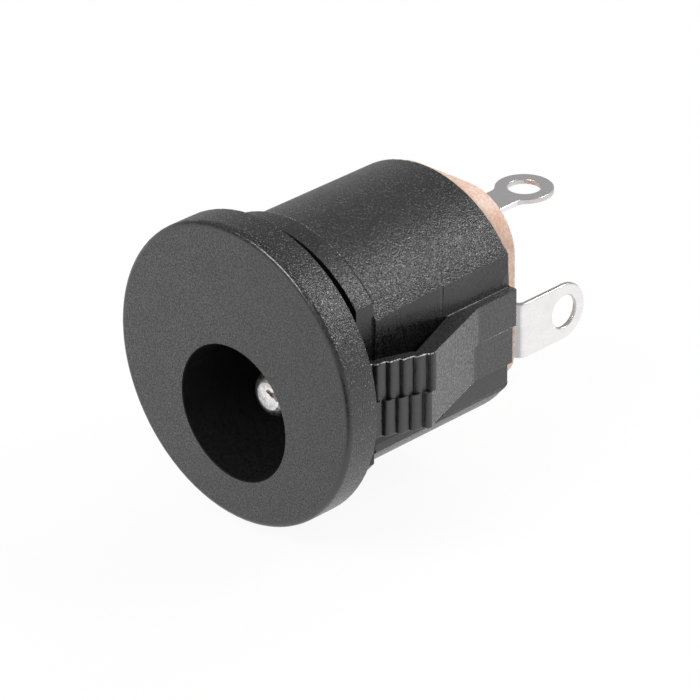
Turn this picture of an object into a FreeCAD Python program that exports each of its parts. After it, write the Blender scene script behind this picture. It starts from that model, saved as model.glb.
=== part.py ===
import FreeCAD, Part
import math
import os

os.makedirs("parts", exist_ok=True)

V = FreeCAD.Vector

# Snap-in dc barrel jack. Millimetres, +Z up, +Y rearward through the panel.
# The origin is on the flange axis in the plane of the flange's rear face, where the panel seats.

# flange and body
FLANGE_DIA = 14.0
FLANGE_T = 1.75
OVERALL_LEN = 17.6
FLANGE_EDGE = 0.28
FLANGE_BACK = 0.06
BODY_DIA = 11.8
BODY_LEN = 10.3
BODY_EDGE = 0.14
FLAT_HALF = 4.95
BAND_RISE = 0.35
BAND_START = 0.85
BAND_W = 1.05

# plug bore, pin and contact chamber
BORE_DIA = 6.3
BORE_DROP = 1.8
MOUTH_BEVEL = 0.04
PIN_DIA = 2.1
PIN_RECESS = 2.1
PIN_DIMPLE = 0.42
SHOULDER_LEN = 0.7
RIVET_H = 0.35
PLUG_DIA = 5.5
CHAMBER_FRONT = 0.9

# side arms
ARM_HALF = 1.75
ARM_DROP = 0.15
ARM_STAGGER = 0.26
TOOTH_PITCH = 0.57
TOOTH_RISE = 0.25
TOOTH_STEP = 0.15
TOOTH_HOOK = 0.05
TOOTH_COUNT = 5
ARM_TIP_OUT = 0.68
ARM_TIP_Y = 0.50
ARM_TIP_T = 0.45
ARM_PEAK_T = 0.80
ARM_RAMP_T = 0.68
PEAK_LAND = 0.21
BLOCK_OUT = 0.45
RAMP_LEN = 4.35
ROOT_Y = 6.41
ARM_LONG = 0.13
ARM_SHORT = 0.10
RELIEF_DEPTH = 0.04
RELIEF_END = 6.15

# rear board
BOARD_T = 1.6
BOARD_SEAT = 0.35
BOARD_SIDE = 0.7
BOARD_CROWN = 0.8
BOARD_FOOT = 2.2
BOARD_CORNER_SHARE = 0.64
BOARD_FOOT_SHARE = 0.28
BOARD_CLEAR = 0.04

# sheet metal terminals
SHEET = 0.25
LUG_H = 2.7
LUG_EYE_DIA = 1.56
LUG_RISE = 0.47
LUG_BEND = 0.45
LUG_INSET = 0.45
RING_R = 1.33
RING_EYE_DIA = 1.5
NECK_W = 1.6
NECK_X = 2.0
STRIP_DEPTH = 2.0
RING_BLEND = 0.6
LEAF_W = 1.8
LEAF_PRESS = 0.25
STRIP_ROOT = 0.8
ROOT_LEN = 1.6
FIT = 0.05

# derived
FLANGE_R = FLANGE_DIA / 2
BODY_R = BODY_DIA / 2
BAND_R = BODY_R + BAND_RISE
BORE_R = BORE_DIA / 2
PIN_R = PIN_DIA / 2
AXIS_Z = -BORE_DROP
SEAT_Y = BODY_LEN - BOARD_SEAT
BOARD_REAR = SEAT_Y + BOARD_T
BOARD_FLAT = FLAT_HALF - BOARD_SIDE
BOARD_TOP = BODY_R - BOARD_CROWN
BOARD_LOW = BODY_R - BOARD_FOOT
BOARD_CORNER = BOARD_CORNER_SHARE * min(BOARD_FLAT, BOARD_TOP)
BOARD_FOOT_CORNER = BOARD_FOOT_SHARE * BOARD_FLAT
REACH = OVERALL_LEN - FLANGE_T
ARM_TIP_X = FLAT_HALF + ARM_TIP_OUT
BLOCK_X = FLAT_HALF + BLOCK_OUT
STRIP_Z = BODY_R - STRIP_DEPTH
ARM_TOP = ARM_HALF - ARM_DROP
ARM_BOTTOM = -ARM_HALF - ARM_DROP
ARM_SEAM = -ARM_DROP
LUG_X = FLAT_HALF - LUG_INSET
LUG_Z = AXIS_Z + LUG_RISE
RIVET_R = PIN_R * 0.7
STRIP_TOP = STRIP_Z + SHEET / 2
STRIP_LOW = STRIP_Z - SHEET / 2


def disc(radius, y0, y1, x=0.0, z=0.0):
    return Part.makeCylinder(radius, y1 - y0, V(x, y0, z), V(0, 1, 0))


def box(x0, x1, y0, y1, z0, z1):
    return Part.makeBox(x1 - x0, y1 - y0, z1 - z0, V(x0, y0, z0))


def rounded_wire(corners, z):
    """Closed wire through (x, y, radius) corners at height z, each corner rounded by its radius."""
    count = len(corners)
    starts = []
    ends = []
    for k in range(count):
        x, y, r = corners[k]
        here = V(x, y, z)
        back = V(corners[k - 1][0], corners[k - 1][1], z) - here
        ahead = V(corners[(k + 1) % count][0], corners[(k + 1) % count][1], z) - here
        half = back.getAngle(ahead) / 2
        cut = min(r / math.tan(half), 0.45 * back.Length, 0.45 * ahead.Length) if r else 0.0
        starts.append(here + back.normalize() * cut if cut else here)
        ends.append(here + ahead.normalize() * cut if cut else here)
    edges = []
    for k in range(count):
        x, y, r = corners[k]
        if r and starts[k].distanceToPoint(ends[k]) > 0.004:
            here = V(x, y, z)
            back = starts[k] - here
            ahead = ends[k] - here
            half = back.getAngle(ahead) / 2
            middle = (back + ahead).normalize()
            radius = back.Length * math.tan(half)
            reach = back.Length / math.cos(half) - radius
            edges.append(Part.Arc(starts[k], here + middle * reach, ends[k]).toShape())
        else:
            ends[k] = starts[k] if not r else ends[k]
            if starts[k].distanceToPoint(ends[k]) > 1e-6:
                edges.append(Part.makeLine(starts[k], ends[k]))
        following = starts[(k + 1) % count]
        if ends[k].distanceToPoint(following) > 1e-6:
            edges.append(Part.makeLine(ends[k], following))
    return Part.Wire(edges)


def plan_prism(corners, z0, z1):
    """Rounded outline in the XY plane carried from z0 to z1."""
    return Part.Face(rounded_wire(corners, z0)).extrude(V(0, 0, z1 - z0))


def edges_at(shape, test):
    return [e for e in shape.Edges if test(e)]


def mirrored(shape):
    return shape.mirror(V(0, 0, 0), V(1, 0, 0))


def arm_outline(shift, rear):
    """Plan corners of one half of the right-hand arm, stepped on the outside, each with its round."""
    pts = []
    x = ARM_TIP_X
    y = ARM_TIP_Y - shift
    pts.append((x - ARM_TIP_T, y + 0.02, 0.08))
    pts.append((x, y, 0.12))
    for k in range(TOOTH_COUNT):
        y += TOOTH_PITCH
        x += TOOTH_RISE
        foot = x - TOOTH_STEP
        pts.append((foot, y - 0.10, 0.0))
        pts.append((foot - TOOTH_HOOK, y - 0.01, 0.03))
        pts.append((x, y + 0.01, 0.05))
    peak_y = y + PEAK_LAND
    pts.append((x, peak_y, 0.1))
    pts.append((BLOCK_X, peak_y + RAMP_LEN, 1.2))
    pts.append((BLOCK_X, rear, 0.14))
    inside = FLAT_HALF - 0.4
    pts.append((inside, rear, 0.0))
    pts.append((inside, ROOT_Y - shift, 0.0))
    pts.append((FLAT_HALF, ROOT_Y - shift, 0.0))
    pts.append((x - ARM_RAMP_T + 0.04, peak_y - 0.46, 0.15))
    pts.append((x - ARM_PEAK_T, peak_y - 0.56, 0.1))
    return pts


def arm():
    upper = plan_prism(arm_outline(0.0, BODY_LEN + ARM_LONG), ARM_SEAM, ARM_TOP)
    lower = plan_prism(arm_outline(ARM_STAGGER, BODY_LEN - ARM_SHORT), ARM_BOTTOM, ARM_SEAM)
    return upper.fuse(lower)


def housing():
    flange = disc(FLANGE_R, -FLANGE_T, 0)
    front = edges_at(flange, lambda e: e.BoundBox.YMax < -FLANGE_T + 0.01 and e.BoundBox.XLength > 1)
    flange = flange.makeFillet(FLANGE_EDGE, front)
    back = edges_at(flange, lambda e: e.BoundBox.YMin > -0.01 and e.BoundBox.XLength > 1)
    flange = flange.makeChamfer(FLANGE_BACK, back)
    core = disc(BODY_R, -0.5, BODY_LEN)
    rim = edges_at(core, lambda e: e.BoundBox.YMin > BODY_LEN - 0.01 and e.BoundBox.XLength > 1)
    core = core.makeFillet(BODY_EDGE, rim)
    band = disc(BAND_R, BAND_START, BAND_START + BAND_W)
    body = core.fuse(band)
    body = body.common(box(-FLAT_HALF, FLAT_HALF, -1, BODY_LEN + 1, -9, 9))
    deep = FLAT_HALF - RELIEF_DEPTH
    relief = box(deep, deep + 1, 0, RELIEF_END, -BODY_R, BODY_R)
    body = body.cut([relief, mirrored(relief)])
    solid = flange.fuse(body)
    right = arm()
    solid = solid.fuse([right, mirrored(right)])

    bore = disc(BORE_R, -FLANGE_T - 1, BODY_LEN + 1, 0, AXIS_Z)
    mouth = Part.makeCone(BORE_R + MOUTH_BEVEL, BORE_R, MOUTH_BEVEL, V(0, -FLANGE_T, AXIS_Z), V(0, 1, 0))
    half = LEAF_W / 2 + 0.2
    chamber = box(-half, half, CHAMBER_FRONT, BODY_LEN + 1, AXIS_Z, STRIP_TOP)
    slot_x = NECK_X + NECK_W / 2 + FIT
    slot = box(0, slot_x, SEAT_Y - ROOT_LEN - FIT, BODY_LEN + 1, STRIP_LOW - FIT, STRIP_TOP)
    pocket = board_blank(BOARD_CLEAR, SEAT_Y, BODY_LEN + 1)
    return solid.cut([bore, mouth, chamber, slot, pocket]).removeSplitter()


def board_blank(grow, y0, y1):
    """Board outline: wide rounded shoulders above, tighter corners at its foot."""
    flat = BOARD_FLAT + grow
    blank = box(-flat, flat, y0, y1, -BOARD_LOW - grow, BOARD_TOP + grow)
    corners = edges_at(blank, lambda e: e.BoundBox.YLength > y1 - y0 - 0.01 and e.BoundBox.XLength < 0.01)
    corners = [e for e in corners if e.BoundBox.ZLength < 0.01]
    shoulders = [e for e in corners if e.BoundBox.ZMin > 0]
    blank = blank.makeFillet(BOARD_CORNER + grow, shoulders)
    feet = edges_at(blank, lambda e: e.BoundBox.ZMax < 0 and e.BoundBox.XLength < 0.01 and e.BoundBox.ZLength < 0.01)
    return blank.makeFillet(BOARD_FOOT_CORNER + grow, feet)


def rear_board():
    blank = board_blank(0, SEAT_Y, BOARD_REAR)
    hole = disc(RIVET_R, SEAT_Y - 1, BOARD_REAR + 1, 0, AXIS_Z)
    half = NECK_W / 2 + FIT
    slot = box(NECK_X - half, NECK_X + half, SEAT_Y - 1, BOARD_REAR + 1, STRIP_LOW - FIT, STRIP_TOP + FIT)
    return blank.cut([hole, slot])


def centre_pin():
    """Turned pin: round nose with a centre dimple, shoulder in front of the board, riveted behind it."""
    tip_y = -FLANGE_T + PIN_RECESS
    shaft = disc(PIN_R, tip_y, SEAT_Y, 0, AXIS_Z)
    front = edges_at(shaft, lambda e: e.BoundBox.YMax < tip_y + 0.01 and e.BoundBox.XLength > 1)
    shaft = shaft.makeFillet(PIN_R * 0.45, front)
    half = PIN_DIMPLE / 2
    dimple = Part.makeCone(half, half * 0.25, half, V(0, tip_y, AXIS_Z), V(0, 1, 0))
    shoulder = disc(PIN_R * 1.4, SEAT_Y - SHOULDER_LEN, SEAT_Y, 0, AXIS_Z)
    shank = disc(RIVET_R, SEAT_Y - 0.1, BOARD_REAR + SHEET, 0, AXIS_Z)
    head_y = BOARD_REAR + SHEET
    head = disc(PIN_R * 1.15, head_y, head_y + RIVET_H, 0, AXIS_Z)
    crown = edges_at(head, lambda e: e.BoundBox.YMin > head_y + RIVET_H - 0.01 and e.BoundBox.XLength > 1)
    head = head.makeChamfer(RIVET_H * 0.6, crown)
    return shaft.cut(dimple).fuse([shoulder, shank, head]).removeSplitter()


def pin_terminal():
    """Flat foot riveted to the board, turned rearward into a rounded solder lug."""
    low = LUG_Z - LUG_H / 2
    high = LUG_Z + LUG_H / 2
    y0 = BOARD_REAR
    corner = LUG_X - LUG_BEND
    pad_r = LUG_H / 2
    foot = box(corner - 1.6, corner, y0, y0 + SHEET, low, high)
    pad = disc(pad_r, y0, y0 + SHEET, 0, AXIS_Z)
    arm_low = AXIS_Z - pad_r
    arm_high = AXIS_Z + pad_r
    wire = Part.makePolygon([
        V(0, y0, arm_low),
        V(corner - 1.6, y0, low),
        V(corner - 1.6, y0, high),
        V(0, y0, arm_high),
        V(0, y0, arm_low),
    ])
    web = Part.Face(wire).extrude(V(0, SHEET, 0))
    outer = Part.makeCylinder(LUG_BEND, LUG_H, V(corner, y0 + LUG_BEND, low), V(0, 0, 1))
    inner = Part.makeCylinder(LUG_BEND - SHEET, LUG_H, V(corner, y0 + LUG_BEND, low), V(0, 0, 1))
    elbow = outer.cut(inner).common(box(corner, LUG_X, y0, y0 + LUG_BEND, low, high))
    end_y = REACH - LUG_H / 2
    blade = box(LUG_X - SHEET, LUG_X, y0 + LUG_BEND, end_y, low, high)
    end = Part.makeCylinder(LUG_H / 2, SHEET, V(LUG_X - SHEET, end_y, LUG_Z), V(1, 0, 0))
    plate = foot.fuse([web, pad, elbow, blade, end])
    hole = disc(RIVET_R, y0 - 1, y0 + 1, 0, AXIS_Z)
    eye = Part.makeCylinder(LUG_EYE_DIA / 2, 2, V(LUG_X - 1, end_y, LUG_Z), V(1, 0, 0))
    return plate.cut([hole, eye]).removeSplitter()


def leaf_profile():
    """Side profile of the spring leaf: rooted under the roof, bowed down to the plug, lifted at its tip."""
    press = AXIS_Z + PLUG_DIA / 2 - LEAF_PRESS + SHEET / 2
    root_y = SEAT_Y - STRIP_ROOT
    bow_y = CHAMBER_FRONT + 2.3
    tip_y = CHAMBER_FRONT + 0.7
    centre = [V(0, root_y, STRIP_Z)]
    steps = 6
    for k in range(1, steps + 1):
        t = k / steps
        ease = t * t * (3 - 2 * t)
        centre.append(V(0, root_y + (bow_y - root_y) * t, STRIP_Z + (press - STRIP_Z) * ease))
    centre.append(V(0, (bow_y + tip_y) / 2, press + 0.22))
    centre.append(V(0, tip_y, press + 0.8))
    curve = Part.BSplineCurve()
    curve.interpolate(centre, InitialTangent=V(0, -1, 0), FinalTangent=V(0, -0.6, 0.8))
    over = []
    under = []
    for k in range(17):
        u = curve.FirstParameter + (curve.LastParameter - curve.FirstParameter) * k / 16
        along = curve.tangent(u)[0]
        side = V(0, -along.z, along.y) * (SHEET / 2)
        over.append(curve.value(u) - side)
        under.append(curve.value(u) + side)
    top = Part.BSplineCurve()
    top.interpolate(over)
    low = Part.BSplineCurve()
    low.interpolate(under)
    ends = [Part.makeLine(over[-1], under[-1]), Part.makeLine(under[0], over[0])]
    return Part.Wire([top.toShape(), ends[0], low.toShape(), ends[1]])


def sleeve_contact():
    half = LEAF_W / 2
    right = NECK_X + NECK_W / 2
    left = NECK_X - NECK_W / 2
    leaf = Part.Face(leaf_profile()).extrude(V(LEAF_W, 0, 0))
    leaf.translate(V(-half, 0, 0))
    root = box(-half, right, SEAT_Y - ROOT_LEN, SEAT_Y, STRIP_LOW, STRIP_TOP)
    end_y = REACH - RING_R
    neck = box(left, right, SEAT_Y - 0.2, end_y, STRIP_LOW, STRIP_TOP)
    ring = Part.makeCylinder(RING_R, SHEET, V(NECK_X, end_y, STRIP_LOW), V(0, 0, 1))
    tail = neck.fuse(ring).removeSplitter()
    joins = edges_at(tail, lambda e: e.BoundBox.ZLength > SHEET - 0.01 and e.BoundBox.YLength < 0.01)
    joins = [e for e in joins if e.BoundBox.YMin > BOARD_REAR and e.BoundBox.YMin < end_y]
    tail = tail.makeFillet(RING_BLEND, joins)
    plate = leaf.fuse([root, tail])
    eye = Part.makeCylinder(RING_EYE_DIA / 2, 2, V(NECK_X, end_y, STRIP_Z - 1), V(0, 0, 1))
    return plate.cut(eye).removeSplitter()


PARTS = {
    "housing": housing,
    "rear_board": rear_board,
    "centre_pin": centre_pin,
    "pin_terminal": pin_terminal,
    "sleeve_contact": sleeve_contact,
}

for name, build in PARTS.items():
    shape = build()
    if shape.ShapeType == "Compound" and len(shape.Solids) == 1:
        shape = shape.Solids[0]
    shape.exportStep("parts/" + name + ".step")
    print(name, shape.isValid(), len(shape.Solids), round(shape.Volume, 2))
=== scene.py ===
import bmesh
import bpy
import math
from mathutils import Matrix, Vector


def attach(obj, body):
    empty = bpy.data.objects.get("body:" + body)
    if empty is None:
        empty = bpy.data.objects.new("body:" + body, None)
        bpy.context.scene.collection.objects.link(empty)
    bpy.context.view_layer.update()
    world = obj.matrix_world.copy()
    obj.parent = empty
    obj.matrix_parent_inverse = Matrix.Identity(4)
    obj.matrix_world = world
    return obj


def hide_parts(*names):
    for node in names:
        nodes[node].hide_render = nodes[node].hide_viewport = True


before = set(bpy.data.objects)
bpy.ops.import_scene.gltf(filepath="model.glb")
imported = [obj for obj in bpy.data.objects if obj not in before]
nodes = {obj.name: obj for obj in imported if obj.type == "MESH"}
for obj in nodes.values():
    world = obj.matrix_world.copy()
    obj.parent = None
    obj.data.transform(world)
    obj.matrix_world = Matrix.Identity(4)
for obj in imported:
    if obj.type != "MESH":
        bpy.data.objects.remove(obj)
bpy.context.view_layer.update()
mm = 0.001
scene = bpy.context.scene


# helpers for node trees, meshes and objects

class Tree:
    # adds nodes to one tree, and feeds their inputs by name or number
    def __init__(self, tree):
        self.tree = tree

    def feed(self, node, inputs):
        # an input is linked to another node's output, or set to a plain value
        for key, value in inputs.items():
            if isinstance(value, bpy.types.NodeSocket):
                self.tree.links.new(value, node.inputs[key])
            else:
                node.inputs[key].default_value = value

    def add(self, kind, inputs=None, **settings):
        node = self.tree.nodes.new(kind)
        for key, value in settings.items():
            setattr(node, key, value)
        self.feed(node, inputs or {})
        return node

    def maths(self, operation, a, b=0.0, clamp=False):
        return self.add("ShaderNodeMath", {0: a, 1: b}, operation=operation, use_clamp=clamp).outputs[0]

    def vector(self, operation, a, b=(0.0, 0.0, 0.0)):
        return self.add("ShaderNodeVectorMath", {0: a, 1: b}, operation=operation).outputs

    def mix(self, share, a, b, kind="MIX"):
        return self.add("ShaderNodeMix", {0: share, 6: a, 7: b}, data_type="RGBA", blend_type=kind).outputs[2]

    def tone(self, value):
        return self.add("ShaderNodeCombineColor", {0: value, 1: value, 2: value}).outputs[0]

    def ramp(self, value, low, high, lowOut=0.0, highOut=1.0, smooth=True):
        inputs = {"Value": value, "From Min": low, "From Max": high, "To Min": lowOut, "To Max": highOut}
        kind = "SMOOTHSTEP" if smooth else "LINEAR"
        return self.add("ShaderNodeMapRange", inputs, interpolation_type=kind).outputs[0]

    def noise(self, place, scale, detail, rough, distortion=0.0):
        inputs = {"Vector": place, "Scale": scale, "Detail": detail, "Roughness": rough,
                  "Distortion": distortion}
        return self.add("ShaderNodeTexNoise", inputs).outputs["Fac"]

    def chance(self, low, high, seed):
        return self.add("FunctionNodeRandomValue", {2: low, 3: high, "Seed": seed},
                        data_type="FLOAT").outputs[1]


def grey(level):
    return (level, level, level, 1.0)


def socketKind(value):
    # the kind of socket that takes a value, where None stands for geometry
    if isinstance(value, tuple):
        return "NodeSocketColor" if len(value) == 4 else "NodeSocketVector"
    kinds = {type(None): "NodeSocketGeometry", bool: "NodeSocketBool", int: "NodeSocketInt",
             float: "NodeSocketFloat"}
    return kinds[type(value)]


def startGroup(treeKind, name, inputs, outputs):
    # a node group with named sockets, each with its first value
    group = bpy.data.node_groups.new(name, treeKind)
    for label, value in inputs.items():
        socket = group.interface.new_socket(label, in_out="INPUT", socket_type=socketKind(value))
        if value is not None:
            socket.default_value = value
    for label, value in outputs.items():
        group.interface.new_socket(label, in_out="OUTPUT", socket_type=socketKind(value))
    tree = Tree(group)
    return group, tree, tree.add("NodeGroupInput").outputs


def startMaterial(name):
    material = bpy.data.materials.new(name)
    material.use_nodes = True
    return material, Tree(material.node_tree), material.node_tree.nodes["Principled BSDF"]


def addObject(name, data):
    thing = bpy.data.objects.new(name, data)
    scene.collection.objects.link(thing)
    return thing


def loft(work, outlines):
    # joins equal outlines, in mm, into one closed solid, and gives back its faces: two ends, then the sides
    rings = [[work.verts.new(Vector(point) * mm) for point in outline] for outline in outlines]
    faces = [work.faces.new(rings[0][::-1]), work.faces.new(rings[-1])]
    for near, far in zip(rings, rings[1:]):
        faces += [work.faces.new((near[k - 1], near[k], far[k], far[k - 1])) for k in range(len(near))]
    return faces


def closedMesh(name, work):
    bmesh.ops.recalc_face_normals(work, faces=work.faces)
    mesh = bpy.data.meshes.new(name)
    work.to_mesh(mesh)
    work.free()
    return mesh


# shared effects

effectOutputs = {"Color": grey(0.5), "Roughness": 0.5, "Height": 0.0}
grainLook = {"lumpRange": (0.32, 0.68), "glintRange": (0.1, 0.45), "faintGlint": 0.25, "glintHeight": 0.35,
             "cloudScale": 420.0, "cloudRange": (0.3, 0.7), "roughRange": (0.3, 0.7),
             "roughSwing": (-0.1, 0.1)}
wearLook = {"blotchRange": (0.42, 0.66), "blotchHeight": 0.5, "streakRange": (0.35, 0.75),
            "streakShare": 0.25, "dulledRough": 0.2}
paperLook = {"laid": (0.8, 1.0, 0.8), "cloudRange": (0.36, 0.64), "cloudShare": 0.55,
             "fibreRange": (0.42, 0.66), "fibreShare": 0.6, "roughRange": (0.3, 0.7), "rough": (0.5, 0.68)}


def makeMouldGrain():
    # the eroded skin of a moulding tool: packed lumps, raised points painted pale as glints, and a slow
    # change of tone
    look = grainLook
    inputs = {"Grain Size": 0.11 * mm, "Glint Share": 0.2, "Base": grey(0.03), "Glint": grey(0.2),
              "Base Roughness": 0.45, "Cloud": 0.15, "Spread": 0.3}
    group, tree, source = startGroup("ShaderNodeTree", "mouldGrain", inputs, effectOutputs)
    place = tree.add("ShaderNodeTexCoord").outputs["Object"]
    density = tree.maths("DIVIDE", 1.0, source["Grain Size"])
    lumps = tree.noise(place, density, detail=1.0, rough=0.5)
    cells = tree.add("ShaderNodeTexVoronoi", {"Vector": place, "Scale": density}, feature="F1").outputs
    pick = tree.add("ShaderNodeSeparateColor", {0: cells["Color"]}).outputs
    core = tree.ramp(cells["Distance"], *look["glintRange"], 1.0, 0.0)
    chosen = tree.maths("LESS_THAN", pick[0], source["Glint Share"])
    strength = tree.maths("MULTIPLY", chosen,
                          tree.ramp(pick[1], 0.0, 1.0, look["faintGlint"], 1.0, smooth=False))
    glint = tree.maths("MULTIPLY", core, strength, clamp=True)
    clouds = tree.noise(place, look["cloudScale"], detail=3.0, rough=0.5)
    cloud = tree.maths("MULTIPLY", tree.ramp(clouds, *look["cloudRange"]), source["Cloud"])
    swing = tree.maths("MULTIPLY", tree.ramp(lumps, *look["lumpRange"], -1.0, 1.0, smooth=False),
                       source["Spread"])
    shade = tree.maths("MULTIPLY", tree.maths("ADD", 1.0, swing), tree.maths("SUBTRACT", 1.0, cloud))
    skin = tree.mix(1.0, source["Base"], tree.tone(shade), "MULTIPLY")
    rough = tree.ramp(lumps, *look["roughRange"], *look["roughSwing"])
    tree.add("NodeGroupOutput", {"Color": tree.mix(glint, skin, source["Glint"]),
                                 "Roughness": tree.maths("ADD", source["Base Roughness"], rough),
                                 "Height": tree.maths("ADD", lumps,
                                                      tree.maths("MULTIPLY", core, look["glintHeight"]))})
    return group


def makeSheetWear():
    # plated metal: rolling marks along the sheet and soft dull blotches
    look = wearLook
    inputs = {"Base": grey(0.8), "Dull": grey(0.55), "Mark Size": 0.2 * mm, "Stretch": (1.0, 0.06, 1.0),
              "Blotch": 0.4, "Blotch Size": 1.1 * mm, "Base Roughness": 0.28}
    group, tree, source = startGroup("ShaderNodeTree", "sheetWear", inputs, effectOutputs)
    place = tree.add("ShaderNodeTexCoord").outputs["Object"]
    rolled = tree.vector("MULTIPLY", place, source["Stretch"])[0]
    marks = tree.noise(rolled, tree.maths("DIVIDE", 1.0, source["Mark Size"]), detail=3.0, rough=0.65)
    blotchDensity = tree.maths("DIVIDE", 1.0, source["Blotch Size"])
    blotches = tree.noise(place, blotchDensity, detail=3.0, rough=0.55, distortion=0.4)
    dulled = tree.maths("MULTIPLY", tree.ramp(blotches, *look["blotchRange"]), source["Blotch"])
    streaks = tree.maths("MULTIPLY", tree.ramp(marks, *look["streakRange"]), look["streakShare"])
    share = tree.maths("ADD", dulled, streaks, clamp=True)
    rough = tree.maths("ADD", source["Base Roughness"], tree.maths("MULTIPLY", share, look["dulledRough"]))
    height = tree.maths("ADD", marks, tree.maths("MULTIPLY", blotches, look["blotchHeight"]))
    tree.add("NodeGroupOutput", {"Color": tree.mix(share, source["Base"], source["Dull"]), "Roughness": rough,
                                 "Height": height})
    return group


def makePaperMottle():
    # pressed paper laminate: warm clouds and short pale fibres
    look = paperLook
    inputs = {"Warm": (0.66, 0.385, 0.275, 1.0), "Pale": (0.84, 0.68, 0.585, 1.0), "Cloud Size": 1.6 * mm,
              "Fibre Size": 0.12 * mm}
    group, tree, source = startGroup("ShaderNodeTree", "paperMottle", inputs, effectOutputs)
    place = tree.add("ShaderNodeTexCoord").outputs["Object"]
    cloudDensity = tree.maths("DIVIDE", 1.0, source["Cloud Size"])
    clouds = tree.noise(place, cloudDensity, detail=4.0, rough=0.6, distortion=0.6)
    laid = tree.vector("MULTIPLY", place, look["laid"])[0]
    fibres = tree.noise(laid, tree.maths("DIVIDE", 1.0, source["Fibre Size"]), detail=3.0, rough=0.7)
    cloudy = tree.ramp(clouds, *look["cloudRange"], 0.0, look["cloudShare"])
    flecked = tree.ramp(fibres, *look["fibreRange"], 0.0, look["fibreShare"])
    share = tree.maths("ADD", cloudy, flecked, clamp=True)
    tree.add("NodeGroupOutput", {"Color": tree.mix(share, source["Warm"], source["Pale"]),
                                 "Roughness": tree.ramp(fibres, *look["roughRange"], *look["rough"]),
                                 "Height": fibres})
    return group


mouldGrain = makeMouldGrain()
sheetWear = makeSheetWear()
paperMottle = makePaperMottle()
print("shared effects: mould grain, sheet wear, paper mottle")


# materials

relief = {"plastic": 0.04, "metal": 0.01, "paper": 0.02}  # height of the bumps, in mm
paperFinish = {"bump": 0.3, "gloss": 0.35}

# tones of the skin and of its painted glints, size of the lumps in mm, share of them painted as glints,
# roughness, strength of the bumps, swing of tone between lumps, and gloss
plasticColumns = ("base", "glint", "lump", "share", "rough", "bump", "swing", "gloss")
plasticLooks = {
    "faceGrain": (0.041, 0.21, 0.08, 0.28, 0.40, 1.0, 1.4, 0.66),
    "sparkGrain": (0.006, 0.33, 0.08, 0.24, 0.31, 1.0, 1.0, 0.92),
    "bodyGrain": (0.007, 0.29, 0.08, 0.22, 0.32, 1.0, 0.8, 0.90),
    "bandGrain": (0.004, 0.26, 0.08, 0.12, 0.34, 0.8, 1.0, 0.86),
    "smoothMould": (0.010, 0.02, 0.12, 0.10, 0.28, 0.05, 0.5, 0.90),
    "recessMould": (0.034, 0.05, 0.12, 0.10, 0.30, 0.05, 0.5, 0.47),
    "armMould": (0.036, 0.10, 0.10, 0.25, 0.36, 0.12, 1.0, 0.88),
    "padMould": (0.014, 0.05, 0.10, 0.25, 0.40, 0.10, 0.8, 1.0),
    # the ramp's grain, with a paler tone that is painted light
    "sandedRamp": (0.091, 0.34, 0.09, 0.38, 0.44, 1.0, 1.3, 1.0),
    # pale beads along edges: painted highlight
    "arrisShine": (0.55, 0.95, 0.10, 0.40, 0.16, 0.1, 0.3, 1.0),
    # a pale tone on the step faces: painted highlight
    "stepGrey": (0.16, 0.25, 0.10, 0.20, 0.40, 0.1, 0.3, 1.0),
    # near-black, for the band's painted shadow line
    "lineShade": (0.002, 0.004, 0.10, 0.10, 0.90, 0.1, 0.3, 0.0),
    "boreShade": (0.009, 0.012, 0.15, 0.10, 0.70, 0.1, 0.3, 0.15)}

# colours of the plating and of its dull places, size of the marks in mm and how short they are along Y,
# share of dull blotches and their size in mm, roughness, strength of the bumps, and how metallic it is
metalColumns = ("base", "dull", "mark", "stretch", "blotch", "patch", "rough", "bump", "metallic")
metalLooks = {
    "tinPlate": ((0.90, 0.885, 0.885), (0.82, 0.79, 0.785), 0.30, 0.3, 0.25, 1.1, 0.24, 0.06, 1.0),
    "cutTin": ((0.68, 0.66, 0.65), (0.56, 0.53, 0.52), 0.20, 1.0, 0.30, 1.1, 0.30, 0.10, 1.0),
    "nickelPin": ((1.0, 0.99, 0.98), (0.40, 0.36, 0.33), 0.22, 1.0, 0.45, 0.55, 0.20, 1.0, 0.7),
    # a darker copy of the pin's plating for its rim: painted shade
    "pinRim": ((0.36, 0.355, 0.35), (0.05, 0.05, 0.05), 0.16, 1.0, 0.90, 0.2, 0.30, 0.9, 0.9),
    # painted shade for the dent on the pin's nose
    "dimpleShade": ((0.40, 0.34, 0.31), (0.08, 0.06, 0.055), 0.10, 1.0, 0.90, 0.25, 0.40, 0.8, 1.0)}

# painted shade, darker at one end: the axis, where it starts and ends in mm, and the share of the tone at
# each end
# the arm darker towards the flange, the face darker towards +X, the recess darker lower down
paintedShadeFades = {"armMould": ("Y", 5.5, 8.4, 0.25, 1.0), "faceGrain": ("X", -6.8, 6.0, 1.0, 0.68),
             "recessMould": ("Z", 1.4, 3.3, 0.45, 1.0)}


def effectMaterial(name, effect, values, height, bump):
    # a material that takes its colour, roughness and relief from one shared effect
    material, tree, surface = startMaterial(name)
    look = tree.add("ShaderNodeGroup", values, node_tree=effect).outputs
    bumps = tree.add("ShaderNodeBump", {"Height": look["Height"], "Distance": height * mm, "Strength": bump})
    tree.feed(surface, {"Base Color": look["Color"], "Roughness": look["Roughness"],
                        "Normal": bumps.outputs[0]})
    return material, surface


def blackPlastic(name, look):
    values = {"Grain Size": look["lump"] * mm, "Glint Share": look["share"], "Base": grey(look["base"]),
              "Glint": grey(look["glint"]), "Base Roughness": look["rough"], "Spread": look["swing"]}
    material, surface = effectMaterial(name, mouldGrain, values, relief["plastic"], look["bump"])
    surface.inputs["Specular IOR Level"].default_value = look["gloss"]
    return material


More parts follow.
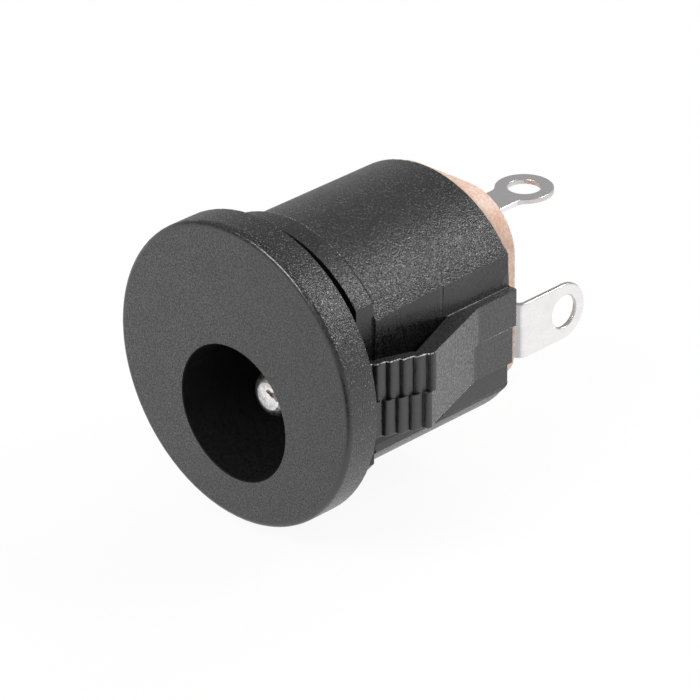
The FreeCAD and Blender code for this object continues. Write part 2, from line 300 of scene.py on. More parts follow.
def platedMetal(name, look):
    values = {"Base": (*look["base"], 1.0), "Dull": (*look["dull"], 1.0), "Mark Size": look["mark"] * mm,
              "Stretch": (1.0, look["stretch"], 1.0), "Blotch": look["blotch"],
              "Blotch Size": look["patch"] * mm, "Base Roughness": look["rough"]}
    material, surface = effectMaterial(name, sheetWear, values, relief["metal"], look["bump"])
    surface.inputs["Metallic"].default_value = look["metallic"]
    return material


def phenolicPaper(name):
    material, surface = effectMaterial(name, paperMottle, {}, relief["paper"], paperFinish["bump"])
    surface.inputs["Specular IOR Level"].default_value = paperFinish["gloss"]
    return material


def paintShadeAlong(material, axis, low, high, lowShare, highShare):
    # darkens the base colour along one axis: painted shade
    tree = Tree(material.node_tree)
    surface = material.node_tree.nodes["Principled BSDF"]
    tone = surface.inputs["Base Color"].links[0].from_socket
    place = tree.add("ShaderNodeTexCoord").outputs["Object"]
    along = tree.add("ShaderNodeSeparateXYZ", {0: place}).outputs[axis]
    share = tree.ramp(along, low * mm, high * mm, lowShare, highShare)
    tree.feed(surface, {"Base Color": tree.mix(share, grey(0.0), tone)})


finishes = {name: blackPlastic(name, dict(zip(plasticColumns, row))) for name, row in plasticLooks.items()}
for finishName, shadeFade in paintedShadeFades.items():
    paintShadeAlong(finishes[finishName], *shadeFade)
for finishName, row in metalLooks.items():
    finishes[finishName] = platedMetal(finishName, dict(zip(metalColumns, row)))
finishes["phenolicPaper"] = phenolicPaper("phenolicPaper")
print("materials:", len(bpy.data.materials))


# rounding, shading and painting of the solids' copies

shading = {"mergeWithin": 2e-7, "flatWithin": 0.4, "sharpFrom": 35, "blendBelow": 40, "areaPower": 1.5,
           "nearRound": 0.03, "alongRound": 0.96}  # angles in degrees, merging in metres


def cleanCopy(node, name):
    # a merged copy of a node, with its flat areas made whole faces again
    piece = addObject(name, nodes[node].data.copy())
    mesh = piece.data
    for label in ("custom_normal", "sharp_edge"):
        attribute = mesh.attributes.get(label)
        if attribute is not None:
            mesh.attributes.remove(attribute)
    mesh.materials.clear()
    work = bmesh.new()
    work.from_mesh(mesh)
    bmesh.ops.remove_doubles(work, verts=work.verts, dist=shading["mergeWithin"])
    flat = math.radians(shading["flatWithin"])
    bmesh.ops.dissolve_limit(work, angle_limit=flat, verts=work.verts, edges=work.edges)
    work.to_mesh(mesh)
    work.free()
    return piece


def turnedNormal(point, normal, rounds):
    # the true normal at a point of a turned wall, or None where the face is on none
    for centreZ, radius in rounds:
        out = Vector((point.x / mm, 0, point.z / mm - centreZ))
        if abs(out.length - radius) < shading["nearRound"] and out.length > 0:
            out.normalize()
            if abs(out.dot(normal)) > shading["alongRound"]:
                return out if out.dot(normal) > 0 else -out
    return None


def shadeTrue(mesh, rounds, limit=shading["blendBelow"], turn=None):
    # blends the faces round each corner by area: flat faces stay flat and turned ones keep their curve
    around = [[] for vertex in mesh.vertices]
    for face in mesh.polygons:
        for index in face.vertices:
            around[index].append(face.index)
    bound = math.cos(math.radians(limit))
    faceNormals = [face.normal.copy() for face in mesh.polygons]
    weights = [face.area ** shading["areaPower"] for face in mesh.polygons]
    result = [Vector((0, 0, 1))] * len(mesh.loops)
    for face in mesh.polygons:
        own = faceNormals[face.index]
        for loopIndex in face.loop_indices:
            index = mesh.loops[loopIndex].vertex_index
            place = mesh.vertices[index].co
            total = Vector((0, 0, 0))
            for other in around[index]:
                if faceNormals[other].dot(own) > bound:
                    turned = turnedNormal(place, faceNormals[other], rounds)
                    total += (turned or faceNormals[other]) * weights[other]
            normal = total.normalized() if total.length > 0 else own
            result[loopIndex] = turn(place / mm, normal) if turn else normal
    mesh.normals_split_custom_set(result)


def roundEdges(piece, width, steps, wanted=lambda middle: True, rounds=(), turn=None):
    # rounds the sharp edges whose middle is wanted, then shades the piece
    work = bmesh.new()
    work.from_mesh(piece.data)
    corners = [edge for edge in work.edges if len(edge.link_faces) == 2
               and edge.calc_face_angle() > math.radians(shading["sharpFrom"])
               and wanted((edge.verts[0].co + edge.verts[1].co) / 2 / mm)]
    bmesh.ops.bevel(work, geom=corners, offset=width * mm, offset_type="OFFSET", segments=steps, profile=0.5,
                    affect="EDGES", clamp_overlap=False, material=-1)
    work.normal_update()
    work.to_mesh(piece.data)
    work.free()
    piece.data.shade_smooth()
    shadeTrue(piece.data, rounds, turn=turn)


def paintFaces(mesh, names, chosenFinish):
    # gives each face the finish that is chosen by its middle, in mm, and its normal
    for name in names:
        mesh.materials.append(finishes[name])
    for face in mesh.polygons:
        face.material_index = names.index(chosenFinish(face.center / mm, face.normal))


# housing

housingShape = {"flatX": 4.95, "bodyR": 5.9, "bandR": 6.25, "flangeR": 7.0, "boreR": 3.15, "boreZ": -1.8,
                "seamZ": -0.15, "reliefY": 6.15, "frontY": -1.75, "rearY": 10.3, "bandFrom": 0.8,
                "bandTo": 1.95, "rampFrom": 3.5, "rampTo": 8.1, "chamberX": 3.2, "chamberFrom": -1.7,
                "seamFrom": 3.4, "outerR": 4.9}
housingMargins = {"near": 0.02, "front": 0.001, "round": 0.05, "boreWall": 0.2, "chamberWall": 0.3,
                  "ramp": 0.3, "flangeRound": 0.45, "boreRound": 0.25, "rearRim": 0.15}
housingRounding = {"width": 0.035, "steps": 2}
facing = {"flat": 0.9, "across": 0.8, "half": 0.5, "slope": 0.2}  # how much of a normal lies along an axis
housingFinishes = ("faceGrain", "sparkGrain", "smoothMould", "sandedRamp", "boreShade", "armMould",
                   "bandGrain", "stepGrey", "recessMould", "bodyGrain")


def housingFinish(middle, normal):
    # which finish a face of the housing has, from where it lies and which way it looks
    x, y, z = middle
    size, margin = housingShape, housingMargins
    near = margin["near"]
    ring = math.hypot(x, z - size["boreZ"])
    reach = math.hypot(x, z)
    betweenFlats = abs(x) < size["flatX"] - near
    besideBand = size["bandFrom"] < y < size["bandTo"]
    inside = y < size["rearY"] - near / 2
    inChamber = abs(x) < size["chamberX"] and reach < size["bodyR"] - margin["chamberWall"]
    onRamp = (abs(normal.x) > facing["half"] and normal.y > facing["slope"]
              and size["rampFrom"] < y < size["rampTo"])
    if y < size["frontY"] + margin["front"] and normal.y < -facing["flat"]:
        return "faceGrain"
    if inside and (ring < size["boreR"] + margin["boreWall"] or (inChamber and y > size["chamberFrom"])):
        return "boreShade"
    if reach > size["flangeR"] - near and y < near / 2:
        return "sparkGrain"
    if reach > size["bandR"] - 1.5 * near and besideBand and betweenFlats:
        return "bandGrain"
    # the relief's step faces are painted pale as a highlight line
    if abs(y - size["reliefY"]) < near and abs(normal.y) > facing["across"]:
        return "stepGrey"
    if betweenFlats and reach > size["bodyR"] - margin["round"] and abs(normal.y) < facing["half"]:
        return "bodyGrain" if y > size["bandTo"] else "sparkGrain"
    # the ramp's paler tone is painted light
    if onRamp and abs(x) > size["flatX"] + margin["ramp"]:
        return "sandedRamp"
    if abs(x) > size["flatX"] + near and y > margin["round"] * 2:
        return "armMould"
    if abs(normal.x) > facing["flat"] and besideBand:
        return "recessMould"
    return "smoothMould"


def housingCorner(middle):
    # the flange and the bore have their own rounds; the seam, the relief's step and the rear rim stay sharp
    x, y, z = middle
    size, margin = housingShape, housingMargins
    near = margin["near"]
    ring = math.hypot(x, z - size["boreZ"])
    reach = math.hypot(x, z)
    onFlange = reach > size["flangeR"] - margin["flangeRound"] and y < margin["round"]
    onSeam = abs(z - size["seamZ"]) < 1.5 * near and y > size["seamFrom"]
    onStep = abs(y - size["reliefY"]) < near and abs(x) < size["flatX"] + near
    onRearRim = y > size["rearY"] - margin["rearRim"] and abs(x) < size["flatX"] - margin["round"]
    if onFlange or onSeam or onStep or onRearRim:
        return False
    return ring > size["boreR"] + margin["boreRound"] and reach > size["outerR"]


def makeHousing():
    size = housingShape
    piece = cleanCopy("housing", "mouldedHousing")
    paintFaces(piece.data, housingFinishes, housingFinish)
    rounds = ((0, size["bodyR"]), (0, size["bandR"]), (0, size["flangeR"]), (size["boreZ"], size["boreR"]))
    roundEdges(piece, housingRounding["width"], housingRounding["steps"], housingCorner, rounds)
    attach(piece, "root")
    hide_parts("housing")
    return piece


housing = makeHousing()
print("housing faces:", len(housing.data.polygons))


# pieces that grow from a node tree, on both sides of the body

def finishTree(tree, right, material, bothSides=True):
    # adds the mirror image across X where it is wanted, realizes all and gives it its material
    turned = tree.add("GeometryNodeTransform", {"Geometry": right, "Scale": (-1.0, 1.0, 1.0)})
    left = tree.add("GeometryNodeFlipFaces", {0: turned.outputs[0]})
    wanted = tree.add("GeometryNodeSwitch", {"Switch": bothSides, "True": left.outputs[0]},
                      input_type="GEOMETRY")
    both = tree.add("GeometryNodeJoinGeometry")
    tree.feed(both, {0: right})
    tree.feed(both, {0: wanted.outputs[0]})
    whole = tree.add("GeometryNodeRealizeInstances", {0: both.outputs[0]})
    painted = tree.add("GeometryNodeSetMaterial", {0: whole.outputs[0], "Material": material})
    tree.add("NodeGroupOutput", {0: painted.outputs[0]})


def growPiece(name, mesh, group, values):
    # lets the tree grow from a small carrier mesh, and keeps what it makes as a plain mesh
    carrier = addObject(name + "Carrier", mesh)
    growth = carrier.modifiers.new(group.name, "NODES")
    growth.node_group = group
    for socket in group.interface.items_tree:
        if socket.in_out == "INPUT" and socket.name in values:
            growth[socket.identifier] = values[socket.name]
    graph = bpy.context.evaluated_depsgraph_get()
    piece = addObject(name, bpy.data.meshes.new_from_object(carrier.evaluated_get(graph)))
    carrier.modifiers.remove(growth)
    bpy.data.objects.remove(carrier)
    return piece


# rounded pads on the arms' teeth

toothPads = {"count": 5, "pitch": 0.57, "rise": 0.25, "firstX": 5.63, "firstY": 0.5, "stagger": 0.26,
             "top": 1.6, "seam": -0.15, "bottom": -1.9, "length": 0.53, "lastLength": 0.46, "shortest": 0.97,
             "sunk": 0.005, "endGap": 0.02, "seed": 4}
padProfile = {"root": -0.13, "start": -0.05, "crest": 0.125, "drop": 0.035, "nose": 0.24, "tail": 0.14,
              "turns": 6, "cap": 0.03, "capLevels": ((0.0, 1.0), (0.02, 0.4), (0.05, 0.0), (0.09, 0.0))}


def padMesh(height, lowCap, highCap):
    # one pad: a rounded ridge along +Y, lying on the XY origin, from z 0 up to height
    size = padProfile
    length, nose, tail = toothPads["length"], size["nose"], size["tail"]
    turns = [math.radians(90 * k / size["turns"]) for k in range(size["turns"] + 1)]
    front = [(size["root"] + nose * math.sin(a), size["start"] + nose * (1 - math.cos(a))) for a in turns]
    back = [(size["crest"] - size["drop"] * (1 - math.cos(a)), length - tail + tail * math.sin(a))
            for a in turns]
    outline = front + back + [(size["root"], length), (size["root"], size["start"])]
    levels = [(rise, lowCap * share) for rise, share in size["capLevels"]]
    levels += [(height - rise, highCap * share) for rise, share in size["capLevels"][::-1]]
    work = bmesh.new()
    for side in loft(work, [[(x - tuck, y, z) for x, y in outline] for z, tuck in levels])[2:]:
        side.smooth = True
    return closedMesh("padMesh", work)


def padTree(material):
    # rows of pads: stepped outwards and rearwards, once on each side of the body
    inputs = {"Pad": None, "Count": 5, "Pitch": 0.57 * mm, "Rise": 0.25 * mm, "First X": 0.0, "First Y": 0.0,
              "Low Z": 0.0, "Last Length": 1.0, "Shortest": 0.97, "Seed": 0}
    group, tree, source = startGroup("GeometryNodeTree", "toothRows", inputs, {"Rows": None})
    start = tree.add("ShaderNodeCombineXYZ", {0: source["First X"], 1: source["First Y"], 2: source["Low Z"]})
    step = tree.add("ShaderNodeCombineXYZ", {0: source["Rise"], 1: source["Pitch"]})
    line = tree.add("GeometryNodeMeshLine", {"Count": source["Count"], "Start Location": start.outputs[0],
                                             "Offset": step.outputs[0]}, mode="OFFSET")
    wobble = tree.chance(source["Shortest"], 1.0, source["Seed"])
    order = tree.add("GeometryNodeInputIndex").outputs[0]  # counted from 0
    isLast = tree.maths("GREATER_THAN", order, tree.maths("SUBTRACT", source["Count"], 1.5))
    shorter = tree.maths("MULTIPLY", isLast, tree.maths("SUBTRACT", source["Last Length"], wobble))
    scale = tree.add("ShaderNodeCombineXYZ", {0: 1.0, 1: tree.maths("ADD", wobble, shorter), 2: 1.0})
    placed = tree.add("GeometryNodeInstanceOnPoints", {"Points": line.outputs[0], "Instance": source["Pad"],
                                                       "Scale": scale.outputs[0]})
    right = tree.add("GeometryNodeRealizeInstances", {0: placed.outputs[0]})
    finishTree(tree, right.outputs[0], material)
    return group


def makeToothPads():
    size = toothPads
    cap, gap = padProfile["cap"], size["endGap"]
    group = padTree(finishes["padMould"])
    made = []
    for name, low, high, shift, lowCap, highCap, lift in (
            ("upperToothPads", size["seam"], size["top"], 0.0, 0.0, cap, 0.0),
            ("lowerToothPads", size["bottom"], size["seam"], size["stagger"], cap, 0.0, gap)):
        piece = growPiece(name, padMesh(high - low - gap, lowCap, highCap), group, {
            "Count": size["count"] + 1, "Pitch": size["pitch"] * mm, "Rise": size["rise"] * mm,
            "First X": (size["firstX"] - size["sunk"]) * mm, "First Y": (size["firstY"] - shift) * mm,
            "Low Z": (low + lift) * mm, "Last Length": size["lastLength"], "Shortest": size["shortest"],
            "Seed": size["seed"]})
        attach(piece, "root")
        made.append(piece)
    return made


# bright lines on edges: pale beads of flash, painted highlights

arrisBead = {"spacing": 0.035, "thinnest": 0.35, "brokenSize": 0.15, "seed": 7, "sides": 6}
toothLine = {"along": (0.02, 0.25, 0.5, 0.75, 0.98), "archPower": 0.7, "slope": 0.10, "arch": 0.03,
             "inset": 0.01, "lift": 0.03, "endInset": 0.02, "ends": (0.03, 0.18)}


def arrisTree(material):
    # a thin bead of moulding flash along an edge, uneven and broken here and there; its pale material paints
    # a highlight
    inputs = {"Edge Line": None, "Thickness": 0.03 * mm, "Spacing": 0.04 * mm, "Thinnest": 0.35,
              "Broken": 0.3, "Broken Size": 0.15, "Sides": 6, "Seed": 0, "Both Sides": True}
    group, tree, source = startGroup("GeometryNodeTree", "arrisBead", inputs, {"Bead": None})
    path = tree.add("GeometryNodeMeshToCurve", {0: source["Edge Line"]}).outputs[0]
    even = tree.add("GeometryNodeResampleCurve", {"Curve": path, "Length": source["Spacing"]}, mode="LENGTH")
    uneven = tree.chance(source["Thinnest"], 1.0, source["Seed"])
    drop = tree.chance(0.0, 1.0, tree.maths("ADD", source["Seed"], 3))  # a draw of its own
    kept = tree.maths("GREATER_THAN", drop, source["Broken"])
    whole = tree.maths("MULTIPLY", kept, tree.maths("SUBTRACT", 1.0, source["Broken Size"]))
    size = tree.maths("MULTIPLY", uneven, tree.maths("ADD", whole, source["Broken Size"]))
    radius = tree.maths("MULTIPLY", size, source["Thickness"])
    ring = tree.add("GeometryNodeCurvePrimitiveCircle", {"Resolution": source["Sides"], "Radius": 1.0},
                    mode="RADIUS")
    swept = tree.add("GeometryNodeCurveToMesh", {"Curve": even.outputs[0], "Profile Curve": ring.outputs[0],
                                                 "Scale": radius, "Fill Caps": True})
    smooth = tree.add("GeometryNodeSetShadeSmooth", {"Geometry": swept.outputs[0]})
    finishTree(tree, smooth.outputs[0], material, source["Both Sides"])
    return group


def toothEdge(z, shift):
    # the outer edge of the stepped teeth, seen from above, with each pad's arch
    size, look = toothPads, toothLine
    line = []
    for k in range(size["count"]):
        x = size["firstX"] + size["rise"] * k
        y = size["firstY"] - shift + size["pitch"] * k
        for share in look["along"]:
            arch = math.sin(math.pi * share) ** look["archPower"]
            out = look["slope"] * share + look["arch"] * arch - look["inset"]
            line.append((x + out, y + size["length"] * share, z + look["lift"] * arch))
    x = size["firstX"] + size["rise"] * size["count"] - look["endInset"]
    y = size["firstY"] - shift + size["pitch"] * size["count"]
    return line + [(x, y + end, z) for end in look["ends"]]


def bandArc(radius, y, start, end, steps=24):
    # points round the body, in degrees from the top towards the right
    angles = [math.radians(start + (end - start) * k / steps) for k in range(steps + 1)]
    return [(radius * math.sin(a), y, radius * math.cos(a)) for a in angles]


# the points of each line, the radius of its bead, the share that is broken away, and if it is on both sides
arrisLines = {
    "upperToothArris": (toothEdge(toothPads["top"] - 0.02, 0.0), 0.045, 0.25, True),
    "lowerToothArris": (toothEdge(toothPads["bottom"] + 0.01, toothPads["stagger"]), 0.0135, 0.40, True),
    "rampFootArris": ([(6.875, 3.32, -1.89), (6.14, 5.48, -1.89), (5.42, 7.60, -1.89)], 0.0135, 0.25, True),
    "seamArris": ([(5.398, y, housingShape["seamZ"]) for y in (8.3, 9.3, 10.2)], 0.010, 0.35, True),
    "flangeArris": (bandArc(6.968, -1.722, 3, 33), 0.013, 0.80, False),
    "innerArmArris": ([(4.965, y, toothPads["top"]) for y in (6.5, 7.4, 8.2, 8.9)], 0.0315, 0.70, True),
    "bandArris": (bandArc(6.232, 1.882, 0, 32), 0.022, 0.45, True)}


def makeArrisLines():
    group = arrisTree(finishes["arrisShine"])
    size = arrisBead
    made = []
    for name, (points, thickness, broken, bothSides) in arrisLines.items():
        mesh = bpy.data.meshes.new(name + "Line")
        mesh.from_pydata([Vector(point) * mm for point in points],
                         [(k, k + 1) for k in range(len(points) - 1)], [])
        piece = growPiece(name, mesh, group, {
            "Thickness": thickness * mm, "Spacing": size["spacing"] * mm, "Thinnest": size["thinnest"],
            "Broken": broken, "Broken Size": size["brokenSize"], "Sides": size["sides"], "Seed": size["seed"],
            "Both Sides": bothSides})
        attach(piece, "root")
        made.append(piece)
    return made


# painted shadow: a dark line along the band's rear edge

bandShadowShape = {"section": ((6.254, 1.862), (6.254, 1.895), (6.20, 1.895), (6.20, 1.862)),
                 "start": 31, "end": 52}


def makeBandShadowLine():
    size = bandShadowShape
    # two near-black arcs on the band's rear edge, painted shadow
    work = bmesh.new()
    for start, end in ((size["start"], size["end"]), (-size["end"], -size["start"])):
        corners = [bandArc(radius, y, start, end) for radius, y in size["section"]]
        loft(work, list(zip(*corners)))
    piece = addObject("bandShadowLine", closedMesh("bandShadowLine", work))
    piece.data.materials.append(finishes["lineShade"])
    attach(piece, "root")
    return piece


# leaning flats of the body

flatShoulders = {
    "radius": 5.903, "startAngle": 54.5, "arcSteps": 5, "inside": 4.70, "blendBelow": 20, "frontTo": 3.0,
    "spans": ({"from": 1.905, "to": 6.15, "outFrom": 5.06, "outTo": 4.97, "base": 4.905, "lowZ": 0.20},
              {"from": 6.15, "to": 10.26, "outFrom": 5.01, "outTo": 4.955, "base": 4.945, "lowZ": 1.55}),
    "slices": (0.0, 0.2, 0.4, 0.6, 0.8, 0.955, 0.985, 1.0), "light": (0.955, 0.985)}
sillShape = {"from": 2.0, "to": 10.25, "rearRound": 0.35, "slices": 12, "top": -3.0, "low": -3.38,
             "under": -3.30, "lift": 0.16, "inside": 4.6, "out": 4.925, "flats": (4.912, 4.952)}
shoulderFinishes = ("bodyGrain", "recessMould", "stepGrey", "armMould", "faceGrain")


def shoulderRing(span, share):
    # the corners of one slice: down the round, then down the leaning flat, then back inside
    size = flatShoulders
    y = span["from"] + (span["to"] - span["from"]) * share
    out = span["outFrom"] + (span["outTo"] - span["outFrom"]) * share
    end = math.degrees(math.asin(out / size["radius"]))
    points = bandArc(size["radius"], y, size["startAngle"], end, size["arcSteps"])
    return points + [(span["base"], y, span["lowZ"]), (size["inside"], y, span["lowZ"]),
                     (size["inside"], y, points[0][2])]


def sillRing(share):
    # the foot of the leaning flat: it stands a little proud of the round below it, and is rounded at the rear
    size = sillShape
    y = size["from"] + (size["to"] - size["from"]) * (1 - (1 - share) ** 2)
    past = max(0.0, y - (size["to"] - size["rearRound"])) / size["rearRound"]
    low = size["low"] + size["lift"] * (1 - math.sqrt(max(0.0, 1 - past * past)))
    flat = size["flats"][0 if y < housingShape["reliefY"] else 1]
    under = min(size["under"], low - size["lift"])
    roundX = math.sqrt(housingShape["bodyR"] ** 2 - under ** 2)
    return [(flat, y, size["top"]), (min(flat, size["out"]), y, low), (roundX, y, under),
            (size["inside"], y, under), (size["inside"], y, size["top"])]


def shoulderFinish(middle, normal):
    # the flats are darker than the sill, as painted shade, and a strip before the relief's step is painted
    # light in the arm's paler tone
    size = flatShoulders
    onRound = math.hypot(middle.x, middle.z) > size["radius"] - housingMargins["near"] / 2
    first = size["spans"][0]
    share = (middle.y - first["from"]) / (first["to"] - first["from"])
    inLight = size["light"][0] < share < size["light"][1]
    if middle.z < sillShape["top"] or (inLight and not onRound):
        return "armMould"
    if onRound:
        return "bodyGrain"
    if abs(normal.y) > facing["across"]:
        return "stepGrey" if middle.y > size["frontTo"] else "faceGrain"
    return "recessMould"


def makeFlatShoulders():
    # the flats lean outwards towards the top, with draft along the body
    size = flatShoulders
    steps = sillShape["slices"]
    work = bmesh.new()
    for side in (1, -1):
        solids = [[shoulderRing(span, share) for share in size["slices"]] for span in size["spans"]]
        solids.append([sillRing(k / steps) for k in range(steps + 1)])
        for rings in solids:
            loft(work, [[(side * x, y, z) for x, y, z in ring] for ring in rings])
    piece = addObject("flatShoulders", closedMesh("flatShoulders", work))
    paintFaces(piece.data, shoulderFinishes, shoulderFinish)
    piece.data.shade_smooth()
    shadeTrue(piece.data, ((0, size["radius"]),), limit=size["blendBelow"])
    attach(piece, "root")
    return piece


pads = makeToothPads()
arrises = makeArrisLines()
makeBandShadowLine()
shoulders = makeFlatShoulders()
print("tooth pads:", [len(piece.data.polygons) for piece in pads])
print("edge lines:", len(arrises), "shoulder faces:", len(shoulders.data.polygons))


# board, pin and terminals

metalShape = {"pinRoundFrom": 1.0, "pinNoseTo": 1.2, "pinFaceR": 0.66, "pinHeadFrom": 9.0, "lugCutFrom": 13.0,
              "lugTilt": 0.4, "ringCutFrom": 11.6, "bendX": 3.9, "bendOut": 0.15, "bendFront": -0.02}
pinDentShade = {"skin": 0.24, "corners": 24, "y": 0.347, "step": 0.003, "thick": 0.03, "outline": (
    (-0.12, 0.25), (-0.03, 0.33), (0.10, 0.35), (0.24, 0.29), (0.34, 0.33), (0.48, 0.30), (0.62, 0.26),
    (0.64, 0.00), (0.55, -0.06), (0.47, -0.03), (0.40, 0.06), (0.30, 0.03), (0.20, 0.07), (0.10, 0.15),
    (0.00, 0.17), (-0.08, 0.20))}


def finishNode(node, name, width, steps, names, chosenFinish, wanted=lambda middle: True, turn=None):
    # a rounded and painted copy, in its node's place
    piece = cleanCopy(node, name)
    roundEdges(piece, width, steps, wanted, turn=turn)
    paintFaces(piece.data, names, chosenFinish)
    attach(piece, "root")
    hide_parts(node)
    return piece


def pinFinish(middle, normal):
    # the nose's rim is a darker copy of the plating, painted shade, and the rivet head behind the board is
    # tinned
    size = metalShape
    if (middle.y < size["pinNoseTo"]
            and math.hypot(middle.x, middle.z - housingShape["boreZ"]) > size["pinFaceR"]):
        return "pinRim"
    return "tinPlate" if middle.y > size["pinHeadFrom"] else "nickelPin"


def lugFinish(middle, normal):
    # the punched edges of the sheet are duller than its plated faces
    size = metalShape
    atTail = abs(normal.x) < facing["half"] and middle.y > size["lugCutFrom"]
    return "cutTin" if atTail or abs(normal.z) > size["lugTilt"] else "tinPlate"


def ringFinish(middle, normal):
    cut = abs(normal.z) < facing["flat"] and middle.y > metalShape["ringCutFrom"]
    return "cutTin" if cut else "tinPlate"


def softBend(place, normal):
    # the outside of the lug's bend keeps the tone of its flat side
    size = metalShape
    outwards = normal.x > size["bendOut"] and normal.y < size["bendFront"] and abs(normal.z) < facing["half"]
    return Vector((1, 0, 0)) if outwards and place.x > size["bendX"] else normal


def makePinDentShade():
    # a flat disc of the pin's nickel over its nose, with a ragged patch in front that is painted shade for a
    # dent reaching towards the bore's near wall
    size, axis = pinDentShade, housingShape["boreZ"]
    work = bmesh.new()
    turns = [math.radians(360 * k / size["corners"]) for k in range(size["corners"])]
    skin = [(size["skin"] * math.cos(a), size["skin"] * math.sin(a)) for a in turns]
    for index, (y, outline) in enumerate(((size["y"], skin), (size["y"] - size["step"], size["outline"]))):
        plate = [[(x, depth, axis + z) for x, z in outline] for depth in (y, y + size["thick"])]
        for face in loft(work, plate):
            face.material_index = index
    piece = addObject("pinDentShade", closedMesh("pinDentShade", work))
    for name in ("nickelPin", "dimpleShade"):
        piece.data.materials.append(finishes[name])
    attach(piece, "root")
    return piece


board = finishNode("rear_board", "rearBoard", 0.11, 3, ("phenolicPaper",),
                   lambda middle, normal: "phenolicPaper")
pin = finishNode("centre_pin", "centrePin", 0.04, 2, ("nickelPin", "pinRim", "tinPlate"), pinFinish,
                 wanted=lambda middle: middle.y > metalShape["pinRoundFrom"])
lug = finishNode("pin_terminal", "pinTerminal", 0.095, 4, ("tinPlate", "cutTin"), lugFinish, turn=softBend)
ring = finishNode("sleeve_contact", "sleeveContact", 0.05, 3, ("tinPlate", "cutTin"), ringFinish)
makePinDentShade()
print("board, pin and terminals finished")


# floor, light and camera

studio = {  # lengths in mm, tones as shares of white
    "floorZ": -7.6, "floorHalf": 900.0, "floorGrey": 0.9, "floorRough": 0.9, "shadow": 0.07,
    "shadowReach": (12.0, 45.0),
    "nearSide": 0.15, "nearFacing": (0.70, -0.71, 0.0), "nearRange": (0.82, 0.98),
    "farSide": 0.5, "farFacing": (-0.74, 0.67, 0.0), "farRange": (0.70, 0.95),
    "ambient": 0.36, "skyGrey": 0.36, "horizonGrey": 0.85, "horizonRange": (-0.05, 0.30)}
lamps = {
    "keyFront": {"position": (-10, -210, 200), "aim": (0, 0, 0), "width": 150, "height": 90, "watts": 0.50},
    "sideRight": {"position": (140, 190, 195), "aim": (0, 4, 0), "width": 100, "height": 80, "watts": 0.36},
    "rearTop": {"position": (-60, 200, 160), "aim": (0, 4, 0), "width": 160, "height": 90, "watts": 0.25,
                "glossy": False}}
photoView = {
    "lens": 241.714, "sensor": 36.0, "clip": (0.01, 5.0), "eye": (128.655, -125.050, 93.592),
    "right": (0.7151816, 0.6988868, -0.0085214), "up": (-0.3163597, 0.3345592, 0.8876861),
    "back": (0.6232430, -0.6321609, 0.4603702)}


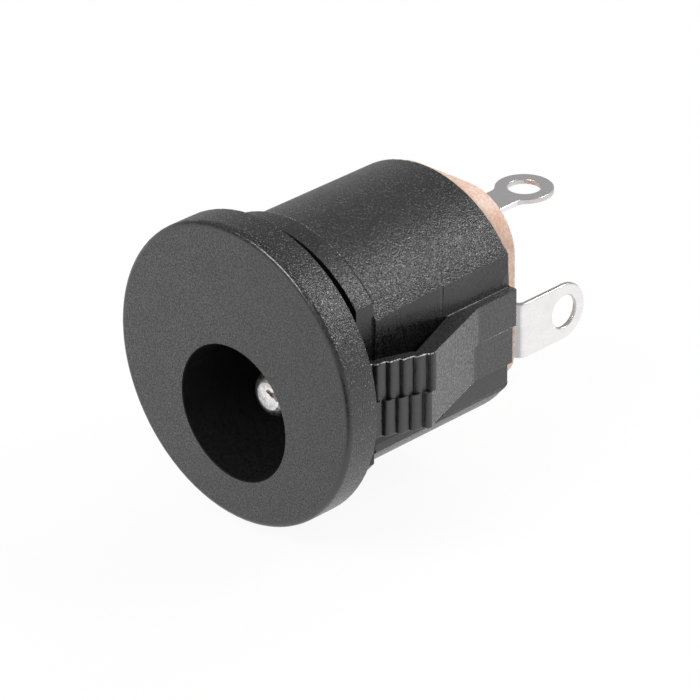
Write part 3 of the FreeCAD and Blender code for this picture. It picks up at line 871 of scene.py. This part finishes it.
def makeFloor():
    # a white floor that keeps the part's shadow, and is greyer on two sides in reflections
    size = studio
    half, low = size["floorHalf"] * mm, size["floorZ"] * mm
    mesh = bpy.data.meshes.new("paleFloor")
    mesh.from_pydata([(-half, -half, low), (half, -half, low), (half, half, low), (-half, half, low)], [],
                     [(0, 1, 2, 3)])
    floor = addObject("paleFloor", mesh)
    material, tree, surface = startMaterial("floorPaper")
    tree.feed(surface, {"Base Color": grey(size["floorGrey"]), "Roughness": size["floorRough"],
                        "Specular IOR Level": 0.0})
    path = tree.add("ShaderNodeLightPath").outputs
    place = tree.add("ShaderNodeTexCoord").outputs["Object"]
    along = tree.vector("NORMALIZE", place)[0]
    toward = tree.vector("DOT_PRODUCT", along, size["nearFacing"])["Value"]
    away = tree.vector("DOT_PRODUCT", along, size["farFacing"])["Value"]
    near = tree.ramp(toward, *size["nearRange"], 0.0, 1.0 - size["nearSide"])
    far = tree.ramp(away, *size["farRange"], 0.0, 1.0 - size["farSide"])
    dim = tree.maths("MULTIPLY", tree.maths("ADD", near, far), path["Is Glossy Ray"])
    glow = tree.add("ShaderNodeEmission", {"Color": grey(1.0), "Strength": tree.maths("SUBTRACT", 1.0, dim)})
    mirrored = tree.maths("MAXIMUM", path["Is Glossy Ray"], path["Is Transmission Ray"])
    seen = tree.maths("MAXIMUM", path["Is Camera Ray"], mirrored)
    reach = tree.vector("LENGTH", place)["Value"]
    shadowFrom, shadowTo = size["shadowReach"]
    depth = tree.ramp(reach, shadowFrom * mm, shadowTo * mm, size["shadow"], 0.0)
    share = tree.maths("MULTIPLY", seen, tree.maths("SUBTRACT", 1.0, depth))
    both = tree.add("ShaderNodeMixShader", {0: share, 1: surface.outputs[0], 2: glow.outputs[0]})
    tree.feed(material.node_tree.nodes["Material Output"], {"Surface": both.outputs[0]})
    mesh.materials.append(material)
    return floor


def makeWorld():
    # white behind the part, plain soft light on it, and a grey sky in reflections
    size = studio
    world = bpy.data.worlds.new("studioWorld")
    scene.world = world
    world.use_nodes = True
    tree = Tree(world.node_tree)
    path = tree.add("ShaderNodeLightPath").outputs
    place = tree.add("ShaderNodeTexCoord").outputs["Generated"]
    upward = tree.add("ShaderNodeSeparateXYZ", {0: place}).outputs["Z"]
    sky = tree.ramp(upward, *size["horizonRange"], size["horizonGrey"], size["skyGrey"])
    glossy = tree.maths("MAXIMUM", path["Is Glossy Ray"], path["Is Transmission Ray"])
    lit = tree.mix(glossy, tree.tone(size["ambient"]), tree.tone(sky))
    colour = tree.mix(path["Is Camera Ray"], lit, grey(1.0))
    tree.feed(world.node_tree.nodes["Background"], {"Color": colour, "Strength": 1.0})


def softLight(name, position, aim, width, height, watts, glossy=True):
    light = bpy.data.lights.new(name, "AREA")
    light.shape = "RECTANGLE"
    light.size = width * mm
    light.size_y = height * mm
    light.energy = watts
    lamp = addObject(name, light)
    lamp.location = Vector(position) * mm
    lamp.rotation_mode = "QUATERNION"
    lamp.rotation_quaternion = (Vector(position) - Vector(aim)).to_track_quat("Z", "Y")
    lamp.visible_camera = False
    lamp.visible_glossy = glossy
    return lamp


def makeCamera():
    view = photoView
    data = bpy.data.cameras.new("photoCamera")
    data.sensor_width = view["sensor"]
    data.sensor_fit = "HORIZONTAL"
    data.lens = view["lens"]
    data.clip_start, data.clip_end = view["clip"]
    camera = addObject("photoCamera", data)
    camera.rotation_mode = "QUATERNION"
    axes = Matrix((view["right"], view["up"], view["back"])).transposed()
    camera.rotation_quaternion = axes.to_quaternion()
    camera.location = Vector(view["eye"]) * mm
    scene.camera = camera


makeFloor()
makeWorld()
for lampName, lamp in lamps.items():
    softLight(lampName, **lamp)
makeCamera()
scene.view_settings.view_transform = "Standard"
print("studio: floor, world, three lights, camera")
